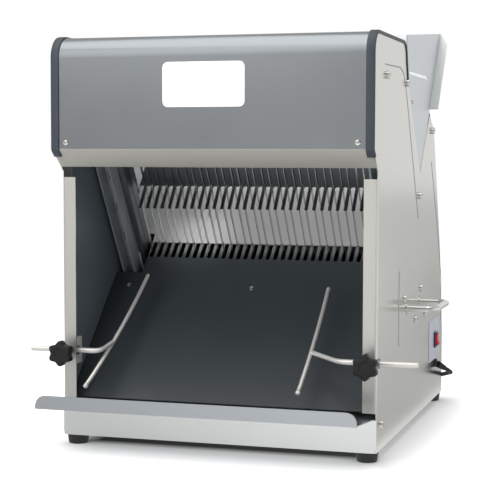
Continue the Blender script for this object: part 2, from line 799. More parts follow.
@dataclass
class Studio:
    """Camera, lights, white sweep and pale floor."""

    eye: Triple = (622.0, -1880.0, 419.0)
    yaw: float = 16.89
    pitch: float = 3.77
    roll: float = 0.15
    focal_px: float = 1415.93
    frame_px: float = 500.0
    sensor: float = 36.0
    clip_end: float = 50.0
    # What the sheets mirror: the glow from the sweep up to the ceiling, and a dim room where a
    # ray turns to the operator's side and stays low
    glow: Ramp = Ramp(0.1, 0.7, 0.84, 0.56)
    operator_side: Ramp = Ramp(-0.2, -0.75)
    stays_low: Ramp = Ramp(0.62, 0.4)
    room_level: float = 0.21
    # Half the floor's side in metres
    reach: float = 14.0
    # Footprint of the machine and how far its middle lies behind the row frame's origin
    base_size: Pair = (464.0, 551.0)
    base_middle: float = 52.75
    # The floor's own glow and the tone of its paper, by the gap to the footprint in metres
    open_glow: Ramp = Ramp(-0.02, 0.07, 0.0, 0.55)
    paper_tone: Ramp = Ramp(-0.04, -0.015, 0.08, 0.86)
    mirrored_tone: float = 0.2
    # How bright the floor is in a mirror image, by the distance before the machine
    ahead: Ramp = Ramp(-0.9, -3.0, 0.58, 1.15)
    # Sideways step of the mirrored rays for each step forwards, and what that changes
    glance: float = 0.316
    rightwards: Ramp = Ramp(-0.16, 0.3, 0.78, 1.35)
    # Where the machine's own shade on its right starts, and how it fades
    shade_x: float = 0.26
    shade: Ramp = Ramp(0.45, 0.95, 0.5, 1.0)
    lamps: tuple[Lamp, ...] = (
        Lamp("overhead_softbox", (-300, -300, 2300), (0, 200, 250), 24.0, 2.2),
        Lamp("front_softbox", (-900, -2100, 1500), (0, 150, 300), 11.0, 1.6),
        Lamp("fill_softbox", (-700, -2100, 900), (0, 200, 330), 28.0, 1.6, mirrored=False),
        Lamp("rear_softbox", (0, 1250, 1700), (0, 300, 420), 8.0, 1.4, mirrored=False),
        # A narrow beam under the hood that finds the lower part of the infeed floor
        Lamp("bay_beam", (-500, -1700, 620), (-100, 262, 287), 110.0, angle=3.6, mirrored=False))

    def camera(self) -> None:
        """Set the camera at the photograph's place and lens."""
        data = bpy.data.cameras.new("studio_camera")
        data.sensor_width = self.sensor
        data.lens = self.focal_px / self.frame_px * self.sensor
        data.clip_end = self.clip_end
        cam = bpy.data.objects.new("studio_camera", data)
        cam.location = at(*self.eye)
        turn = (Matrix.Rotation(math.radians(self.yaw), 4, "Z")
                @ Matrix.Rotation(math.radians(90 - self.pitch), 4, "X")
                @ Matrix.Rotation(math.radians(self.roll), 4, "Z"))
        cam.rotation_euler = turn.to_euler()
        bpy.context.scene.collection.objects.link(cam)
        bpy.context.scene.camera = cam
        bpy.context.scene.view_settings.view_transform = "Standard"

    def sky(self) -> None:
        """Light the room: white to the camera, softer and darker low on the operator's side."""
        world = bpy.data.worlds.new("studio_sky")
        bpy.context.scene.world = world
        world.use_nodes = True
        tree = world.node_tree
        tree.nodes.clear()
        way = add_node(tree, "ShaderNodeTexCoord").outputs["Generated"]
        parts = add_node(tree, "ShaderNodeSeparateXYZ", {"Vector": way}).outputs
        front, low = (
            add_node(tree, "ShaderNodeMapRange", ramp.of(parts[axis]),
                     interpolation_type="SMOOTHSTEP").outputs["Result"]
            for ramp, axis in ((self.operator_side, "Y"), (self.stays_low, "Z")))
        dim = add_node(tree, MATH, {0: front, 1: low}, operation="MULTIPLY").outputs[0]
        high = add_node(tree, "ShaderNodeMapRange", self.glow.of(parts["Z"])).outputs["Result"]
        level = add_node(tree, "ShaderNodeMix", {
            "Factor": dim, 2: high, 3: self.room_level}).outputs[0]
        rays = add_node(tree, "ShaderNodeLightPath").outputs
        strength = add_node(tree, "ShaderNodeMix", {
            "Factor": rays["Is Camera Ray"], 2: level, 3: 1.0}).outputs[0]
        light = add_node(tree, "ShaderNodeBackground", {
            "Color": (1.0, 1.0, 1.0, 1.0), "Strength": strength})
        add_node(tree, "ShaderNodeOutputWorld", {"Surface": light.outputs[0]})

    def footprint_gap(self, tree: bpy.types.NodeTree, spot: Mapping[str, Socket]) -> Socket:
        """Give the distance of a floor spot from the machine's footprint.

        Args:
            tree: The floor's tree.
            spot: The spot's place along X, Y and Z.

        Returns:
            The distance in metres, below zero under the machine.
        """
        deep = add_node(tree, MATH, {0: spot["Y"], 1: self.base_middle * MM},
                        operation="SUBTRACT").outputs[0]
        gaps = []
        for line, whole in zip((spot["X"], deep), self.base_size):
            far = add_node(tree, MATH, {0: line}, operation="ABSOLUTE").outputs[0]
            gaps.append(add_node(tree, MATH, {0: far, 1: whole / 2 * MM},
                                 operation="SUBTRACT").outputs[0])
        return add_node(tree, MATH, {0: gaps[0], 1: gaps[1]}, operation="MAXIMUM").outputs[0]

    def mirrored_level(self, tree: bpy.types.NodeTree, spot: Mapping[str, Socket]) -> Socket:
        """Give how bright a floor spot is in the sheets' mirror images.

        Args:
            tree: The floor's tree.
            spot: The spot's place along X, Y and Z.

        Returns:
            The strength of its glow.
        """
        ahead = add_node(tree, "ShaderNodeMapRange", self.ahead.of(spot["Y"])).outputs["Result"]
        # Where on the front a mirrored spot shows, brighter towards the operator's right
        shift = add_node(tree, MATH, {0: spot["Y"], 1: -self.glance, 2: spot["X"]},
                         operation="MULTIPLY_ADD").outputs[0]
        tilt = add_node(tree, "ShaderNodeMapRange", self.rightwards.of(shift)).outputs["Result"]
        # What the right side panel mirrors lies in the machine's own shade
        right = add_node(tree, MATH, {0: spot["X"], 1: self.shade_x},
                         operation="GREATER_THAN").outputs[0]
        shade = add_node(tree, "ShaderNodeMapRange", self.shade.of(spot["X"])).outputs["Result"]
        beside = add_node(tree, "ShaderNodeMix", {"Factor": right, 2: 1.0, 3: shade}).outputs[0]
        shaded = add_node(tree, MATH, {0: ahead, 1: beside}, operation="MULTIPLY").outputs[0]
        return add_node(tree, MATH, {0: shaded, 1: tilt}, operation="MULTIPLY").outputs[0]

    def floor(self) -> None:
        """Lay the pale floor, which glows for the camera and still takes the shadow."""
        mesh = bpy.data.meshes.new("studio_floor")
        corners = [(x * self.reach, y * self.reach, 0)
                   for x, y in ((-1, -1), (1, -1), (1, 1), (-1, 1))]
        mesh.from_pydata(corners, [], [(0, 1, 2, 3)])
        made = bpy.data.materials.new("pale_paper_sweep")
        made.use_nodes = True
        tree = made.node_tree
        tree.nodes.clear()
        rays = add_node(tree, "ShaderNodeLightPath").outputs
        place = add_node(tree, "ShaderNodeTexCoord").outputs["Object"]
        spot = add_node(tree, "ShaderNodeSeparateXYZ", {"Vector": place}).outputs
        gap = self.footprint_gap(tree, spot)
        # The sweep is lit from below up to the machine, and a mirror image of it stays pale grey
        glow = add_node(tree, "ShaderNodeMapRange", self.open_glow.of(gap)).outputs["Result"]
        mirror = add_node(tree, MATH, {
            0: rays["Is Glossy Ray"], 1: self.mirrored_level(tree, spot)},
            operation="MULTIPLY").outputs[0]
        shown = add_node(tree, MATH, {0: rays["Is Camera Ray"], 1: glow, 2: mirror},
                         operation="MULTIPLY_ADD").outputs[0]
        # The paper is soiled dark where the machine stands on it
        soiled = add_node(tree, "ShaderNodeMapRange", self.paper_tone.of(gap)).outputs["Result"]
        tone = add_node(tree, "ShaderNodeMix", {
            "Factor": rays["Is Glossy Ray"], 2: soiled, 3: self.mirrored_tone}).outputs[0]
        paper = add_node(tree, "ShaderNodeBsdfDiffuse", {"Color": tone})
        lit = add_node(tree, "ShaderNodeEmission", {
            "Color": (1.0, 1.0, 1.0, 1.0), "Strength": shown})
        both = add_node(tree, "ShaderNodeAddShader", {0: paper.outputs[0], 1: lit.outputs[0]})
        add_node(tree, "ShaderNodeOutputMaterial", {"Surface": both.outputs[0]})
        mesh.materials.append(made)
        obj = bpy.data.objects.new("studio_floor", mesh)
        bpy.context.scene.collection.objects.link(obj)

    def build(self) -> None:
        """Set up the whole studio."""
        self.camera()
        self.sky()
        self.floor()
        for lamp in self.lamps:
            lamp.hang()


@dataclass
class PowerLead:
    """The mains lead: gland, cord, spare coil, tie and plug."""

    thick: float = 7.0
    gland_tip: Triple = (246.008, 493.892, 62.933)
    gland_way: Triple = (0.50034, 0.74551, -0.4403)
    # Collar and ribbed boot of the gland, as radius and height
    collar_at: Triple = (232.0, 476.0, 73.5)
    collar: tuple[Pair, ...] = ((0.5, 0.0), (7.0, 0.0), (7.0, 3.2), (6.2, 4.0), (0.5, 4.0))
    boot_len: float = 24.0
    boot_run: Pair = (6.0, 23.9)
    boot_r: Pair = (5.5, 4.15)
    boot_bore: float = 0.5
    rib: float = 0.35
    rib_pitch: float = 3.4
    rib_steps: int = 27
    # The cord leaves the gland straight for this length
    straight: float = 8.0
    coil_centre: Pair = (100.0, 620.0)
    coil_r: float = 48.0
    coil_step: float = 7.7
    turns: int = 5
    per_turn: int = 36
    low_z: float = 4.3
    layer_h: float = 7.5
    # Where the cord leaves the coil, and where it enters the plug
    leave_x: float = 86.0
    lead_x: float = 52.0
    run_y: float = 572.0
    # Place and share of the full size along the plug, and one pin as radius and height
    plug_size: Pair = (20.0, 23.6)
    plug_r: float = 8.0
    plug_steps: tuple[Pair, ...] = (
        (8.0, 0.9), (9.2, 1.0), (22.0, 1.0), (25.0, 0.9), (29.0, 0.86), (33.0, 0.92),
        (38.0, 0.9), (42.0, 0.7), (45.0, 0.55), (52.0, 0.46))
    pin: tuple[Pair, ...] = ((0.4, 0.0), (2.4, 0.0), (2.4, 17.3), (1.6, 18.9), (0.4, 19.2))
    pin_x: float = 8.3
    pin_apart: float = 12.0
    route: tuple[Triple, ...] = (
        (252.0, 510.0, 55.5), (252.5, 522.0, 52.0), (250.0, 534.0, 49.5), (245.0, 545.0, 47.0),
        (238.0, 554.5, 44.0), (228.0, 562.0, 40.5), (215.5, 567.5, 36.0), (200.0, 571.0, 30.0),
        (182.0, 572.0, 22.5), (164.0, 572.0, 15.0), (147.0, 572.0, 9.0), (130.0, 572.0, 5.3),
        (115.0, 572.0, 4.3), (107.0, 572.0, 4.3))

    def free_run(self) -> list[Vector]:
        """Give the stretch from the gland to the coil, rounded between its set points.

        Returns:
            Points in bench millimetres.
        """
        tip, way = Vector(self.gland_tip), Vector(self.gland_way)
        marks = [tip, tip + self.straight * way] + [Vector(p) for p in self.route]
        ends = [2 * marks[0] - marks[1]] + marks + [2 * marks[-1] - marks[-2]]
        run = []
        for a, b, c, d in zip(ends, ends[1:], ends[2:], ends[3:]):
            for t in (0.0, 0.5):
                run.append(0.5 * (2 * b + (c - a) * t + (2 * a - 5 * b + 4 * c - d) * t * t
                                  + (3 * b - a - 3 * c + d) * t ** 3))
        return run

    def coil(self) -> list[Vector]:
        """Give the spare turns: inwards on the floor, then outwards on top.

        Returns:
            Points in bench millimetres.
        """
        whole = self.turns * 360
        loops = []
        for i in range(self.turns * self.per_turn + 1):
            a = i * 360 / self.per_turn
            r = self.coil_r - self.coil_step * min(a, whole - a) / 360
            lift = max(0.0, min(1.0, (a - whole / 2 + 90) / 180))
            loops.append(Vector((self.coil_centre[0] - r * math.sin(math.radians(a)),
                                 self.coil_centre[1] - r * math.cos(math.radians(a)),
                                 self.low_z + self.layer_h * lift)))
        return loops

    def cord(self, pieces: Sequence[object]) -> None:
        """Lay the cord as one smooth curve.

        Args:
            pieces: The tie and the plug.
        """
        top = self.low_z + self.layer_h
        line = (self.free_run() + [Vector(self.route[-1])] + self.coil()
                + [Vector((x, self.run_y, top)) for x in (self.leave_x, self.lead_x)])
        data = bpy.data.curves.new("mains_cord", "CURVE")
        data.dimensions = "3D"
        data.bevel_depth = self.thick / 2 * MM
        data.bevel_resolution = 4
        data.use_fill_caps = True
        spline = data.splines.new("POLY")
        spline.points.add(len(line) - 1)
        for point, mark in zip(spline.points, line):
            point.co = (*at(*mark), 1.0)
        data.materials.append(BLACK_RUBBER.material())
        obj = bpy.data.objects.new("mains_cord", data)
        bpy.context.scene.collection.objects.link(obj)
        spline.use_smooth = True
        settle(obj, Body.MACHINE, ("power_cord", "cord_coil"))
        at(*self.gland_tip)

    def gland(self) -> None:
        """Mould the gland: a collar on the panel and a ribbed boot."""
        mould = Mould()
        collar = Matrix.Translation(self.collar_at) @ Matrix.Rotation(math.pi / 2, 4, "Y")
        mould.lathe(self.collar, sides=28, place=collar)
        way = Vector(self.gland_way)
        root = Vector(self.gland_tip) - self.boot_len * way
        boot = Matrix.Translation(root) @ way.to_track_quat("Z", "Y").to_matrix().to_4x4()
        low, high = self.boot_run
        wide, slim = self.boot_r
        profile = [(self.boot_bore, low)]
        for i in range(self.rib_steps + 1):
            t = i / self.rib_steps
            height = low + (high - low) * t
            rib = self.rib * math.cos(math.tau * (height - low) / self.rib_pitch)
            profile.append((wide + (slim - wide) * t + rib, height))
        mould.lathe(profile + [(self.boot_bore, high)], sides=28, place=boot)
        mould.piece("ribbed_gland", Body.MACHINE, BLACK_RUBBER, ("cable_gland",))

    def plug(self) -> list[bpy.types.Object]:
        """Mould the plug with its grip and its two pins.

        Returns:
            The body of the plug and its pins.
        """
        top = self.low_z + self.layer_h
        mould = Mould()
        rings = []
        for x, scale in self.plug_steps:
            size = (self.plug_size[0] * scale, self.plug_size[1] * scale)
            outline = rounded_rect((self.run_y, top), size, self.plug_r * scale)
            rings.append(mould.ring([at(x, y, z) for y, z in outline]))
        mould.bridge(rings)
        grip = mould.piece("moulded_plug", Body.MACHINE, BLACK_PLASTIC, ("mains_plug",))
        pins = Mould()
        for side in Side:
            y = self.run_y + side.value * self.pin_apart / 2
            spot = Matrix.Translation((self.pin_x, y, top))
            turn = Matrix.Rotation(-math.pi / 2, 4, "Y")
            pins.lathe(self.pin, sides=20, place=spot @ turn)
        return [grip, pins.piece("plug_pins", Body.MACHINE, SCREW_PLATE)]

    def build(self) -> None:
        """Make the lead and what hangs on it."""
        self.gland()
        self.cord([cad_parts["cord_tie"], *self.plug()])


@dataclass
class Hood:
    """The bent hood with its rubber edging and its bare name plate."""

    half: float = 230.5
    sheet: float = 1.5
    lip: Pair = (-5.0, 404.0)
    fold: tuple[Pair, ...] = ((-33.2, 427.2), (-34.0, 429.4))
    front_bend: Pair = (-4.0, 557.0)
    front_r: float = 30.0
    back_bend: Pair = (174.0, 563.0)
    back_r: float = 24.0
    tail: Pair = (208.0, 534.0)
    plate_middle: Pair = (-6.0, 518.0)
    plate_size: Pair = (119.0, 62.0)
    plate_r: float = 8.0
    plate_t: float = 0.95
    face_y: float = -34.0
    # The edging lies on the hood and folds down a little over the side panel: place across
    # the machine and height over the sheet
    edging: tuple[Pair, ...] = (
        (221.5, 0.1), (221.5, 1.3), (221.9, 1.9), (222.7, 2.1), (232.2, 2.1), (233.1, 1.8),
        (233.5, 1.0), (233.5, -2.2), (233.0, -2.7), (232.15, -2.7), (232.15, 0.1))
    edging_start: Pair = (-23.85, 419.6)

    def path(self, start: Optional[Pair] = None) -> list[Pair]:
        """Give the outline of the hood from its front lip over the top to its tail.

        Args:
            start: Where to start on the underside, or nothing for the lip.

        Returns:
            Depth and height of the points.
        """
        return [start or self.lip, *self.fold,
                *arc(self.front_bend, self.front_r, 180, 90, count=18),
                *arc(self.back_bend, self.back_r, 90, 0, count=16), self.tail]

    def build(self) -> None:
        """Make the hood, its two trims and its plate."""
        sheet = [(-self.half, 0.0), (self.half, 0.0), (self.half, -self.sheet),
                 (-self.half, -self.sheet)]
        shell = Mould()
        shell.sweep(sheet, self.path()[2:])
        shell.piece("bent_hood", Body.MACHINE, HOOD_STEEL, ("hood",))
        under = Mould()
        under.sweep(sheet, self.path()[:3])
        under.piece("hood_lip", Body.MACHINE, LIP_STEEL)
        for side in Side:
            trim = Mould()
            trim.sweep([(side.value * x, n) for x, n in self.edging],
                       self.path(self.edging_start))
            label = side.name.lower()
            trim.piece(f"{label}_rubber_edging", Body.MACHINE, EDGE_RUBBER,
                       (f"{label}_edge_trim",))
        plate = Mould()
        outline = rounded_rect(self.plate_middle, self.plate_size, self.plate_r, count=8)
        plate.prism(outline, self.face_y, self.face_y - self.plate_t, Axis.Y)
        plate.soften(0.35)
        plate.piece("bare_name_plate", Body.MACHINE, PLATE_LACQUER, ("name_plate",))


@dataclass
class BodyShell:
    """What is fixed on the panels: covers, pressed lines, louvres, clip and feet."""

    half: float = 232.0
    depth: float = 551.0
    cover_middle: Pair = (277.0, 198.0)
    cover_size: Pair = (246.0, 114.0)
    cover_r: float = 5.0
    cover_t: float = 0.8
    # Air under what is laid on a sheet
    gap: float = 0.03
    holes: tuple[tuple[float, float, float], ...] = (
        (216.0, 192.0, 9.6), (324.0, 192.0, 9.6), (287.0, 168.0, 6.0), (373.0, 168.0, 6.0),
        (330.0, 213.0, 6.0), (192.5, 209.1, 6.0))
    pressed: tuple[tuple[Pair, ...], ...] = (
        ((40.0, 546.0), (150.0, 548.0), (176.0, 541.0), (190.0, 524.0), (204.0, 504.0),
         (306.0, 324.0)),
        ((423.0, 411.0), (482.0, 314.0), (536.0, 210.0), (536.0, 140.0)))
    pressed_bend: float = 9.0
    pressed_half: float = 0.9
    # Lower and upper face of a pressed line over the panel
    pressed_t: Pair = (0.02, 0.3)
    louvre_x: tuple[float, ...] = (-150.0, -50.0, 50.0, 150.0)
    louvre_low: float = 41.5
    louvre_step: float = 14.0
    louvre_rows: int = 5
    louvre: tuple[tuple[str, float], ...] = (
        ("Width", 76.0), ("Height", 9.0), ("Depth", 3.4), ("Sheet", 0.7))
    louvre_round: float = 4.0
    table_origin: Pair = (233.0, 271.0)
    table_slope: float = 43.5
    seal_run: Pair = (-290.0, -50.5)
    seal_x: Pair = (226.6, 228.4)
    seal_lift: float = 0.02
    seal_t: float = 0.4
    foot_spots: tuple[Pair, ...] = ((-216.0, 16.0), (216.0, 16.0), (-216.0, 535.0),
                                    (216.0, 535.0))
    # One foot as radius and height
    foot: tuple[Pair, ...] = (
        (4.0, 2.0), (9.0, 2.0), (10.0, 0.0), (13.2, 0.0), (14.2, 1.2), (15.4, 10.0),
        (16.0, 12.6), (15.2, 13.95), (4.0, 13.95))
    clip_middle: Pair = (228.0, 66.0)
    clip_size: Pair = (7.0, 9.0)
    clip_r: float = 1.5
    # Near and far face of the clip behind the rear panel
    clip_y: Pair = (0.2, 4.0)

    def covers(self) -> None:
        """Make the thin cover plate around each carry handle."""
        outline = rounded_rect(self.cover_middle, self.cover_size, self.cover_r)
        holes = [arc((y, z), r, 0, 345, count=23) for y, z, r in self.holes]
        for side in Side:
            mould = Mould()
            mould.pierced(outline, holes, side.value * (self.half + self.gap),
                          side.value * (self.half + self.cover_t))
            mould.piece(f"{side.name.lower()}_drive_cover", Body.MACHINE, PANEL_STEEL)

    def lines(self) -> None:
        """Press the two long stiffening lines into each side panel."""
        low, high = (self.half + t for t in self.pressed_t)
        for side in Side:
            mould = Mould()
            for path in self.pressed:
                corners = [Vector((y, z, 0)) for y, z in path]
                bent = [(p.x, p.y) for p in eased(corners, self.pressed_bend)]
                steps = left_steps(bent)
                edges = [[(p[0] + n * s[0], p[1] + n * s[1]) for p, s in zip(bent, steps)]
                         for n in (self.pressed_half, -self.pressed_half)]
                mould.prism(edges[0] + edges[1][::-1], side.value * low, side.value * high)
            mould.piece(f"{side.name.lower()}_pressed_lines", Body.MACHINE, FRAME_STEEL)

    def louvres(self) -> None:
        """Raise a small hood over each slot of the rear panel."""
        r = Recipe("pressed_louvre", {label: REAL for label, _ in self.louvre})
        g = r.given
        grid = r.node("GeometryNodeMeshGrid", {
            "Size X": g["Width"], "Size Y": g["Height"], "Vertices X": 15, "Vertices Y": 7})
        spot = add_node(r.tree, "ShaderNodeSeparateXYZ", {
            "Vector": r.node("GeometryNodeInputPosition")}).outputs
        # Full depth in the middle and at the open lower edge, none at the ends and the top
        half = r.node(MATH, {0: g["Width"], 1: 0.5}, operation="MULTIPLY")
        across = r.node(MATH, {0: spot["X"], 1: half}, operation="DIVIDE")
        beside = r.node(MATH, {0: across}, operation="ABSOLUTE")
        fall = r.node(MATH, {0: beside, 1: self.louvre_round}, operation="POWER")
        side = r.node(MATH, {0: 1.0, 1: fall}, operation="SUBTRACT")
        rise = r.node(MATH, {0: spot["Y"], 1: g["Height"]}, operation="DIVIDE")
        below = r.node(MATH, {0: 0.5, 1: rise}, operation="SUBTRACT")
        kept = r.node(MATH, {0: below, 1: 0.0}, operation="MAXIMUM")
        drop = r.node(MATH, {0: kept}, operation="SQRT")
        bulge = r.node(MATH, {0: side, 1: drop}, operation="MULTIPLY")
        out = r.node(MATH, {0: g["Depth"], 1: bulge}, operation="MULTIPLY")
        moved = r.node("GeometryNodeSetPosition", {
            "Geometry": grid, "Position": r.node("ShaderNodeCombineXYZ", {
                "X": spot["X"], "Y": out, "Z": spot["Y"]})})
        thick = r.node("GeometryNodeExtrudeMesh", {
            "Mesh": moved, "Offset": (0.0, 1.0, 0.0), "Offset Scale": g["Sheet"],
            "Individual": False}, mode="FACES")
        whole = r.node("GeometryNodeJoinGeometry", {"Geometry": [thick, moved]})
        r.close(r.node("GeometryNodeInstanceOnPoints", {
            "Points": g["Geometry"], "Instance": whole}, "Instances"))
        spots = [(at(x, self.depth, self.louvre_low + self.louvre_step * i), Vector((0, 1, 0)))
                 for x in self.louvre_x for i in range(self.louvre_rows)]
        r.grow("rear_louvres", seed_points("louvre_spots", spots),
               {label: size * MM for label, size in self.louvre}, Body.MACHINE, BASE_STEEL)

    def feet(self) -> None:
        """Mould the four rubber feet."""
        mould = Mould()
        for x, y in self.foot_spots:
            mould.lathe(self.foot, sides=32, place=Matrix.Translation((x, y, 0.0)))
        mould.piece("rubber_feet", Body.MACHINE, BLACK_RUBBER, ("feet",))

    def seals(self) -> None:
        """Lay a thin dark seal along both side edges of the outfeed table."""
        mould = Mould()
        low, high = (tilted(self.table_origin, self.table_slope, a, self.seal_lift)
                     for a in self.seal_run)
        rise = tilted((0.0, 0.0), self.table_slope, 0.0, self.seal_t)
        outline = [low, high, (high[0] + rise[0], high[1] + rise[1]),
                   (low[0] + rise[0], low[1] + rise[1])]
        for side in Side:
            mould.prism(outline, *(side.value * x for x in self.seal_x))
        mould.piece("table_seals", Body.MACHINE, BLACK_RUBBER)

    def clip(self) -> None:
        """Set the small cord clip on the rear edge."""
        mould = Mould()
        near, far = (self.depth + y for y in self.clip_y)
        outline = rounded_rect(self.clip_middle, self.clip_size, self.clip_r)
        mould.prism(outline, near, far, Axis.Y)
        mould.soften(0.6)
        mould.piece("rear_cord_clip", Body.MACHINE, BLACK_PLASTIC)

    def build(self) -> None:
        """Make everything on the shell."""
        self.covers()
        self.lines()
        self.louvres()
        self.feet()
        self.seals()
        self.clip()


@dataclass(frozen=True)
class Head:
    """Sizes of a round head with a socket, in millimetres."""

    diameter: float
    height: float
    socket: float
    depth: float

    def sizes(self) -> dict[str, float]:
        """Give the inputs of the head's recipe, in metres."""
        return {"Head diameter": self.diameter * MM, "Head height": self.height * MM,
                "Socket diameter": self.socket * MM, "Socket depth": self.depth * MM}


@dataclass
class Fasteners:
    """Every screw and bolt head that shows."""

    bolt: Head = Head(11.0, 4.5, 5.6, 2.2)
    screw: Head = Head(8.0, 2.2, 3.4, 1.1)
    # Share of the height of each step of a head, and how far its top is drawn in
    crown: tuple[Pair, ...] = ((0.62, 1.0), (0.25, 0.94), (0.13, 0.86))
    socket_taper: float = 0.92
    sides: int = 24
    half: float = 232.0
    bolt_spots: tuple[Pair, ...] = (
        (51.5, 532.0), (200.0, 528.0), (312.6, 359.0), (425.0, 462.0), (192.5, 209.1),
        (28.0, 50.0), (287.0, 168.0), (373.0, 168.0), (330.0, 213.0))
    hood_screw: Triple = (211.0, -34.0, 438.0)
    cheek_screw: Triple = (230.5, 255.8, 503.5)
    table_origin: Pair = (233.0, 271.0)
    table_slope: float = 43.5
    table_along: float = -77.0
    table_x: tuple[float, ...] = (-201.0, 0.0, 201.0)

    def lift(self, r: Recipe, mesh: Socket, top: object, height: object,
             scale: object) -> tuple[Socket, Socket]:
        """Raise the top of a head and draw it in.

        Args:
            r: The recipe.
            mesh: The head so far.
            top: The face to raise.
            height: How far.
            scale: The new size of the face against the old.

        Returns:
            The head and its new top.
        """
        raised = add_node(r.tree, "GeometryNodeExtrudeMesh", {
            "Mesh": mesh, "Selection": top, "Offset": (0.0, 0.0, 1.0), "Offset Scale": height,
            "Individual": False}, mode="FACES").outputs
        drawn = r.node("GeometryNodeScaleElements", {
            "Geometry": raised["Mesh"], "Selection": raised["Top"], "Scale": scale})
        return drawn, raised["Top"]

    def recipe(self) -> Recipe:
        """Write the recipe of a round head with a socket.

        Returns:
            The recipe, to grow on points that face outwards.
        """
        r = Recipe("socket_head", {label: REAL for label in self.bolt.sizes()})
        tall, wide = r.given["Head height"], r.given["Head diameter"]
        base = r.node("GeometryNodeMeshCircle", {
            "Vertices": self.sides,
            "Radius": r.node(MATH, {0: wide, 1: 0.5}, operation="MULTIPLY")}, fill_type="NGON")
        mesh, top, left = base, True, 1.0
        for share, scale in self.crown:
            rise = r.node(MATH, {0: tall, 1: share}, operation="MULTIPLY")
            mesh, top = self.lift(r, mesh, top, rise, scale)
            left *= scale
        flat = r.node(MATH, {0: wide, 1: left}, operation="MULTIPLY")
        ratio = r.node(MATH, {0: r.given["Socket diameter"], 1: flat}, operation="DIVIDE")
        mesh, top = self.lift(r, mesh, top, 0.0, ratio)
        depth = r.node(MATH, {0: r.given["Socket depth"], 1: -1.0}, operation="MULTIPLY")
        mesh, top = self.lift(r, mesh, top, depth, self.socket_taper)
        whole = r.node("GeometryNodeJoinGeometry", {"Geometry": [mesh, base]})
        facing = r.node("GeometryNodeInputNamedAttribute", {"Name": "facing"},
                        data_type="FLOAT_VECTOR")
        turn = r.node("FunctionNodeAlignRotationToVector", {"Vector": facing}, axis="Z")
        r.close(r.node("GeometryNodeInstanceOnPoints", {
            "Points": r.given["Geometry"], "Instance": whole, "Rotation": turn}, "Instances"))
        return r

    def build(self) -> None:
        """Grow the four sets of heads."""
        r = self.recipe()
        a = math.radians(self.table_slope)
        up = Vector((0, -math.sin(a), math.cos(a)))
        y, z = tilted(self.table_origin, self.table_slope, self.table_along, 0)
        hood_x, cheek_x = self.hood_screw[0], self.cheek_screw[0]
        sets = {
            "side_bolts": (self.bolt, [
                (at(s.value * self.half, *p), Vector((s.value, 0, 0)))
                for s in Side for p in self.bolt_spots]),
            "hood_screws": (self.screw, [
                (at(s.value * hood_x, *self.hood_screw[1:]), Vector((0, -1, 0))) for s in Side]),
            "table_screws": (self.screw, [(at(x, y, z), up) for x in self.table_x]),
            "cheek_screws": (self.screw, [
                (at(s.value * cheek_x, *self.cheek_screw[1:]), Vector((s.value, 0, 0)))
                for s in Side]),
        }
        for node, (head, spots) in sets.items():
            r.grow(f"{node}_heads", seed_points(f"{node}_spots", spots), head.sizes(),
                   Body.MACHINE, SCREW_PLATE, (node,))


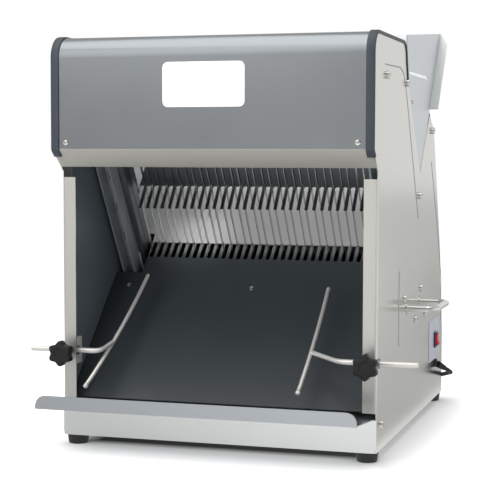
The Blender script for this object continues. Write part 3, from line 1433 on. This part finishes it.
@dataclass
class BladePack:
    """The two sets of toothed blades."""

    origin: Pair = (233.0, 271.0)
    lean: float = 33.5
    pitch: float = 12.0
    count: int = 31
    low: float = -48.0
    high: float = 296.2
    # The strips stand near one plane, each row just within its own frame's bars
    wide: float = 6.0
    thick: float = 0.6
    overlap: float = 0.7
    tooth_pitch: float = 10.0
    tooth_depth: float = 1.3
    tooth_steps: float = 6.0
    ground: float = 1.8
    # The ground edge comes together by this share of the strip's thickness
    pinch: float = 0.84

    def recipe(self) -> Recipe:
        """Write the recipe of a row of blades with scalloped, ground edges.

        Returns:
            The recipe.
        """
        r = Recipe("scalloped_blades", {
            "Blades": "NodeSocketInt", "Spacing": REAL, "First": REAL, "Length": REAL,
            "Width": REAL, "Thickness": REAL, "Tooth pitch": REAL, "Tooth depth": REAL,
            "Ground width": REAL, "Lean": REAL, "Place": "NodeSocketVector"})
        g = r.given
        teeth = r.node(MATH, {0: g["Length"], 1: g["Tooth pitch"]}, operation="DIVIDE")
        steps = r.node(MATH, {0: teeth, 1: self.tooth_steps, 2: 1.0}, operation="MULTIPLY_ADD")
        grid = r.node("GeometryNodeMeshGrid", {
            "Size X": g["Length"], "Size Y": g["Width"], "Vertices X": steps, "Vertices Y": 3})
        spot = add_node(r.tree, "ShaderNodeSeparateXYZ", {
            "Vector": r.node("GeometryNodeInputPosition")}).outputs
        # Of the three lines of points the last is the toothed edge, the middle one its ground line
        quarter = r.node(MATH, {0: g["Width"], 1: 0.25}, operation="MULTIPLY")
        edge = r.node(MATH, {0: spot["Y"], 1: quarter}, operation="GREATER_THAN")
        beside = r.node(MATH, {0: spot["Y"]}, operation="ABSOLUTE")
        middle = r.node(MATH, {0: beside, 1: quarter}, operation="LESS_THAN")
        whole = r.node(MATH, {0: spot["X"], 1: math.tau}, operation="MULTIPLY")
        turn = r.node(MATH, {0: whole, 1: g["Tooth pitch"]}, operation="DIVIDE")
        wave = r.node(MATH, {0: turn}, operation="COSINE")
        scallop = r.node(MATH, {0: wave, 1: -0.5, 2: 0.5}, operation="MULTIPLY_ADD")
        deep = r.node(MATH, {0: scallop, 1: g["Tooth depth"]}, operation="MULTIPLY")
        bite = r.node(MATH, {0: deep, 1: edge}, operation="MULTIPLY")
        half_wide = r.node(MATH, {0: g["Width"], 1: 0.5}, operation="MULTIPLY")
        inset = r.node(MATH, {0: half_wide, 1: g["Ground width"]}, operation="SUBTRACT")
        cut = r.node(MATH, {0: spot["Y"], 1: bite}, operation="SUBTRACT")
        across = r.node(MATH, {0: middle, 1: inset, 2: cut}, operation="MULTIPLY_ADD")
        marked = r.node("GeometryNodeStoreNamedAttribute", {
            "Geometry": grid, "Name": "edge", "Value": edge}, data_type="FLOAT", domain="POINT")
        flat = r.node("GeometryNodeSetPosition", {
            "Geometry": marked, "Position": r.node("ShaderNodeCombineXYZ", {
                "Y": across, "Z": spot["X"]})})
        raised = r.node("GeometryNodeExtrudeMesh", {
            "Mesh": flat, "Offset": (1.0, 0.0, 0.0), "Offset Scale": g["Thickness"],
            "Individual": False}, mode="FACES")
        solid = r.node("GeometryNodeMergeByDistance", {
            "Geometry": r.node("GeometryNodeJoinGeometry", {"Geometry": [raised, flat]}),
            "Distance": WELD})
        here = add_node(r.tree, "ShaderNodeSeparateXYZ", {
            "Vector": r.node("GeometryNodeInputPosition")}).outputs
        mark = r.node("GeometryNodeInputNamedAttribute", {"Name": "edge"}, data_type="FLOAT")
        half = r.node(MATH, {0: g["Thickness"], 1: 0.5}, operation="MULTIPLY")
        off = r.node(MATH, {0: half, 1: here["X"]}, operation="SUBTRACT")
        near = r.node(MATH, {0: off, 1: self.pinch}, operation="MULTIPLY")
        pinch = r.node(MATH, {0: near, 1: mark}, operation="MULTIPLY")
        sharp = r.node("GeometryNodeSetPosition", {
            "Geometry": solid, "Offset": r.node("ShaderNodeCombineXYZ", {"X": pinch})})
        row = r.node("GeometryNodeMeshLine", {
            "Count": g["Blades"],
            "Start Location": r.node("ShaderNodeCombineXYZ", {
                "X": r.node(MATH, {0: g["First"], 1: half}, operation="SUBTRACT")}),
            "Offset": r.node("ShaderNodeCombineXYZ", {"X": g["Spacing"]})}, mode="OFFSET")
        blades = r.node("GeometryNodeInstanceOnPoints", {"Points": row, "Instance": sharp},
                        "Instances")
        r.close(r.node("GeometryNodeTransform", {
            "Geometry": blades, "Translation": g["Place"],
            "Rotation": r.node("ShaderNodeCombineXYZ", {"X": g["Lean"]})}))
        return r

    def build(self) -> None:
        """Grow the front and the rear set."""
        r = self.recipe()
        for first, body, from_w in ((0, Body.FRONT_FRAME, self.overlap - self.wide),
                                    (1, Body.REAR_FRAME, -self.overlap)):
            middle = tilted(self.origin, self.lean, from_w + self.wide / 2,
                            (self.low + self.high) / 2)
            label = body.value.split("_")[0]
            r.grow(f"{label}_toothed_blades", bpy.data.meshes.new(f"{label}_seed"), {
                "Blades": (self.count + 1 - first) // 2, "Spacing": 2 * self.pitch * MM,
                "First": (first - (self.count - 1) / 2) * self.pitch * MM,
                "Length": (self.high - self.low) * MM, "Width": self.wide * MM,
                "Thickness": self.thick * MM, "Tooth pitch": self.tooth_pitch * MM,
                "Tooth depth": self.tooth_depth * MM, "Ground width": self.ground * MM,
                "Lean": math.radians(self.lean), "Place": tuple(at(0, *middle))},
                body, BLADE_STEEL, (f"{label}_blades",))


@dataclass
class CrumbTray:
    """The rolled edge along the lip of the crumb tray."""

    half: float = 228.0
    low: float = 69.3
    high: float = 88.3
    lip_y: float = -104.2
    corner: float = 15.0
    bead: float = 2.4
    # The bead starts that far above the lip's lower end
    bead_from: float = 2.0

    def build(self) -> None:
        """Roll the edge round the free sides of the lip."""
        inset = self.half - self.bead / 2
        top = self.high - self.bead / 2
        foot = self.low + self.bead_from
        corners = [Vector((x, self.lip_y, z)) for x, z in (
            (-inset, foot), (-inset, top), (inset, top), (inset, foot))]
        path = eased(corners, self.corner, count=10)
        mould = Mould()
        mould.tube(path, [self.bead] * len(path), sides=14)
        mould.piece("tray_rolled_edge", Body.TRAY, TRAY_STEEL)


@dataclass
class GuideBars:
    """The bent guide bars with their cross bars and star knobs."""

    rod: float = 8.0
    leg: float = 6.6
    cross: float = 6.0
    rod_end: float = 287.5
    rod_line: Pair = (10.0, 137.0)
    bends: dict[Side, Triple] = field(default_factory=lambda: {
        Side.LEFT: (-179.0, 10.0, 137.0), Side.RIGHT: (176.0, 10.0, 137.0)})
    tees: dict[Side, Triple] = field(default_factory=lambda: {
        Side.LEFT: (-172.0, 44.0, 146.6), Side.RIGHT: (130.4, 41.0, 143.8)})
    lows: dict[Side, Triple] = field(default_factory=lambda: {
        Side.LEFT: (-190.0, -16.0, 90.0), Side.RIGHT: (124.0, -10.5, 95.0)})
    highs: dict[Side, Triple] = field(default_factory=lambda: {
        Side.LEFT: (-154.0, 139.0, 237.0), Side.RIGHT: (132.6, 127.4, 226.0)})
    # The cross bars are sprung a little towards the right between their ends
    bows: dict[Side, float] = field(default_factory=lambda: {Side.LEFT: 4.5, Side.RIGHT: 2.0})
    bow_steps: int = 16
    rod_chamfer: float = 0.9
    bend_r: float = 12.0
    bend_steps: int = 12
    # Knob at the foot of a cross bar and its rounded tip: place along it and thickness
    foot: tuple[Pair, ...] = ((-3.7, 4.0), (-3.0, 6.2), (-1.7, 7.4), (0.7, 7.3), (2.9, 6.2),
                              (4.3, 6.0))
    foot_end: float = 6.0
    tip: tuple[Pair, ...] = ((-0.2, 6.0), (1.8, 5.0), (2.9, 2.4))
    knob_x: float = 222.5
    # Depth of each step of a star knob and its share of the full size
    knob_steps: tuple[Pair, ...] = (
        (-22.5, 0.72), (-23.4, 0.93), (-25.2, 1.0), (-34.6, 1.0), (-36.6, 0.94), (-37.5, 0.82),
        (-37.45, 0.5), (-36.6, 0.46))
    knob_r: float = 16.5
    lobe: float = 1.95
    lobes: int = 6
    knob_sides: int = 112
    # Neck and stud as radius and height before the post
    neck: tuple[Pair, ...] = ((1.0, 3.0), (5.2, 3.0), (6.0, 3.8), (6.0, 14.0), (7.6, 19.0),
                              (8.2, 22.9), (1.0, 22.9))
    stud: tuple[Pair, ...] = ((1.0, -2.7), (2.6, -2.7), (3.0, -2.2), (3.0, 3.2), (1.0, 3.2))

    def bar(self, side: Side) -> None:
        """Bend one bar.

        Args:
            side: The side that it is clamped on.
        """
        mould = Mould()
        end = Vector((side.value * self.rod_end, *self.rod_line))
        bend, tee = Vector(self.bends[side]), Vector(self.tees[side])
        out = (end - bend).normalized()
        path = eased([end, bend, tee], self.bend_r, self.bend_steps)
        thin = [self.rod + (self.leg - self.rod) * i / self.bend_steps
                for i in range(self.bend_steps + 1)]
        mould.tube([end, end - self.rod_chamfer * out] + path[1:],
                   [self.rod - 2 * self.rod_chamfer, self.rod] + thin + [self.leg])
        low, high = Vector(self.lows[side]), Vector(self.highs[side])
        way = (high - low).normalized()
        line = [(low + along * way, wide) for along, wide in self.foot]
        for i in range(1, self.bow_steps):
            t = i / self.bow_steps
            spot = low.lerp(high, t) + Vector((self.bows[side] * 4 * t * (1 - t), 0, 0))
            if (spot - low).dot(way) > self.foot_end:
                line.append((spot, self.cross))
        line += [(high + along * way, wide) for along, wide in self.tip]
        mould.tube([spot for spot, _ in line], [wide for _, wide in line])
        label = side.name.lower()
        mould.piece(f"{label}_bent_bar", Body(f"{label}_bar"), DULL_BAR, (f"{label}_guide_bar",))

    def knob(self, side: Side) -> None:
        """Mould one star knob with its neck and stud.

        Args:
            side: The post that it stands on.
        """
        mould = Mould()
        turn = [math.tau * k / self.knob_sides for k in range(self.knob_sides)]
        middle_x, middle_z = side.value * self.knob_x, self.rod_line[1]
        rings = []
        for y, scale in self.knob_steps:
            size = [scale * (self.knob_r + self.lobe * math.cos(self.lobes * a)) for a in turn]
            rings.append(mould.ring([
                at(middle_x + s * math.sin(a), y, middle_z + s * math.cos(a))
                for s, a in zip(size, turn)]))
        mould.bridge(rings)
        axle = (Matrix.Translation((middle_x, 0.0, middle_z))
                @ Matrix.Rotation(math.pi / 2, 4, "X"))
        mould.lathe(self.neck, sides=28, place=axle)
        mould.lathe(self.stud, sides=20, place=axle)
        label = side.name.lower()
        mould.piece(f"{label}_star_knob", Body(f"{label}_knob"), BLACK_PLASTIC,
                    (f"{label}_clamp_knob",))

    def build(self) -> None:
        """Make both bars and both knobs."""
        for side in Side:
            self.bar(side)
            self.knob(side)


@dataclass
class SwitchGear:
    """The bare switch plate with its bezel and red rocker."""

    half: float = 232.0
    plate_middle: Pair = (466.0, 115.0)
    plate_size: Pair = (100.0, 68.0)
    plate_t: float = 0.8
    switch_middle: Pair = (472.0, 114.0)
    bezel_size: Pair = (25.0, 26.0)
    opening: Pair = (18.6, 21.2)
    bezel_t: float = 3.0
    # Air under the plate, and the corner radii of plate, opening and bezel
    gap: float = 0.03
    plate_r: float = 3.0
    opening_r: float = 0.6
    bezel_r: float = 1.6
    pivot_x: float = 234.3
    tilt: float = 8.0
    rocker_wide: float = 18.0
    # Half the height of the rocker's root, and its dished face
    root: float = 5.0
    dish_out: float = 5.0
    dish_tall: float = 18.8
    dish_deep: float = 1.4
    dish_steps: int = 16

    def rocker(self) -> None:
        """Mould the dished rocker, tipped to its resting side."""
        tall = self.dish_tall
        spots = [tall * (i / self.dish_steps - 0.5) for i in range(self.dish_steps + 1)]
        dish = [(self.dish_out - self.dish_deep * math.cos(math.pi * t / tall), t) for t in spots]
        profile = [(-self.root, -self.root)] + dish + [(-self.root, self.root)]
        c, s = math.cos(math.radians(self.tilt)), math.sin(math.radians(self.tilt))
        turned = [(self.pivot_x + x * c - z * s, self.switch_middle[1] + x * s + z * c)
                  for x, z in profile]
        mould = Mould()
        middle, half = self.switch_middle[0], self.rocker_wide / 2
        mould.prism(turned, middle - half, middle + half, Axis.Y)
        mould.soften(0.5)
        mould.piece("dished_rocker", Body.ROCKER, SWITCH_RED, ("switch_rocker",))

    def build(self) -> None:
        """Make the plate, the bezel and the rocker."""
        front = self.half + self.plate_t
        plate = Mould()
        window = rounded_rect(self.switch_middle, self.opening, self.opening_r, count=2)
        plate.pierced(rounded_rect(self.plate_middle, self.plate_size, self.plate_r), [window],
                      self.half + self.gap, front)
        plate.piece("bare_switch_plate", Body.MACHINE, LABEL_FILM, ("switch_plate",))
        bezel = Mould()
        bezel.pierced(rounded_rect(self.switch_middle, self.bezel_size, self.bezel_r), [window],
                      front, front + self.bezel_t)
        bezel.soften(0.5)
        bezel.piece("switch_frame", Body.MACHINE, SWITCH_NAVY, ("switch_bezel",))
        self.rocker()


def dress_nodes() -> None:
    """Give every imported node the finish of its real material."""
    for finish, names in NODE_FINISH.items():
        for name in names:
            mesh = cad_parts[name].data
            mesh.materials.clear()
            mesh.materials.append(finish.material())
            LOG.info("%s has %s", name, finish.name)


def main() -> None:
    """Build the studio and every sub-assembly in order."""
    logging.basicConfig(level=logging.INFO, format="%(name)s: %(message)s")
    Studio().build()
    dress_nodes()
    PowerLead().build()
    Hood().build()
    BodyShell().build()
    Fasteners().build()
    BladePack().build()
    CrumbTray().build()
    GuideBars().build()
    SwitchGear().build()


if __name__ == "__main__":
    main()
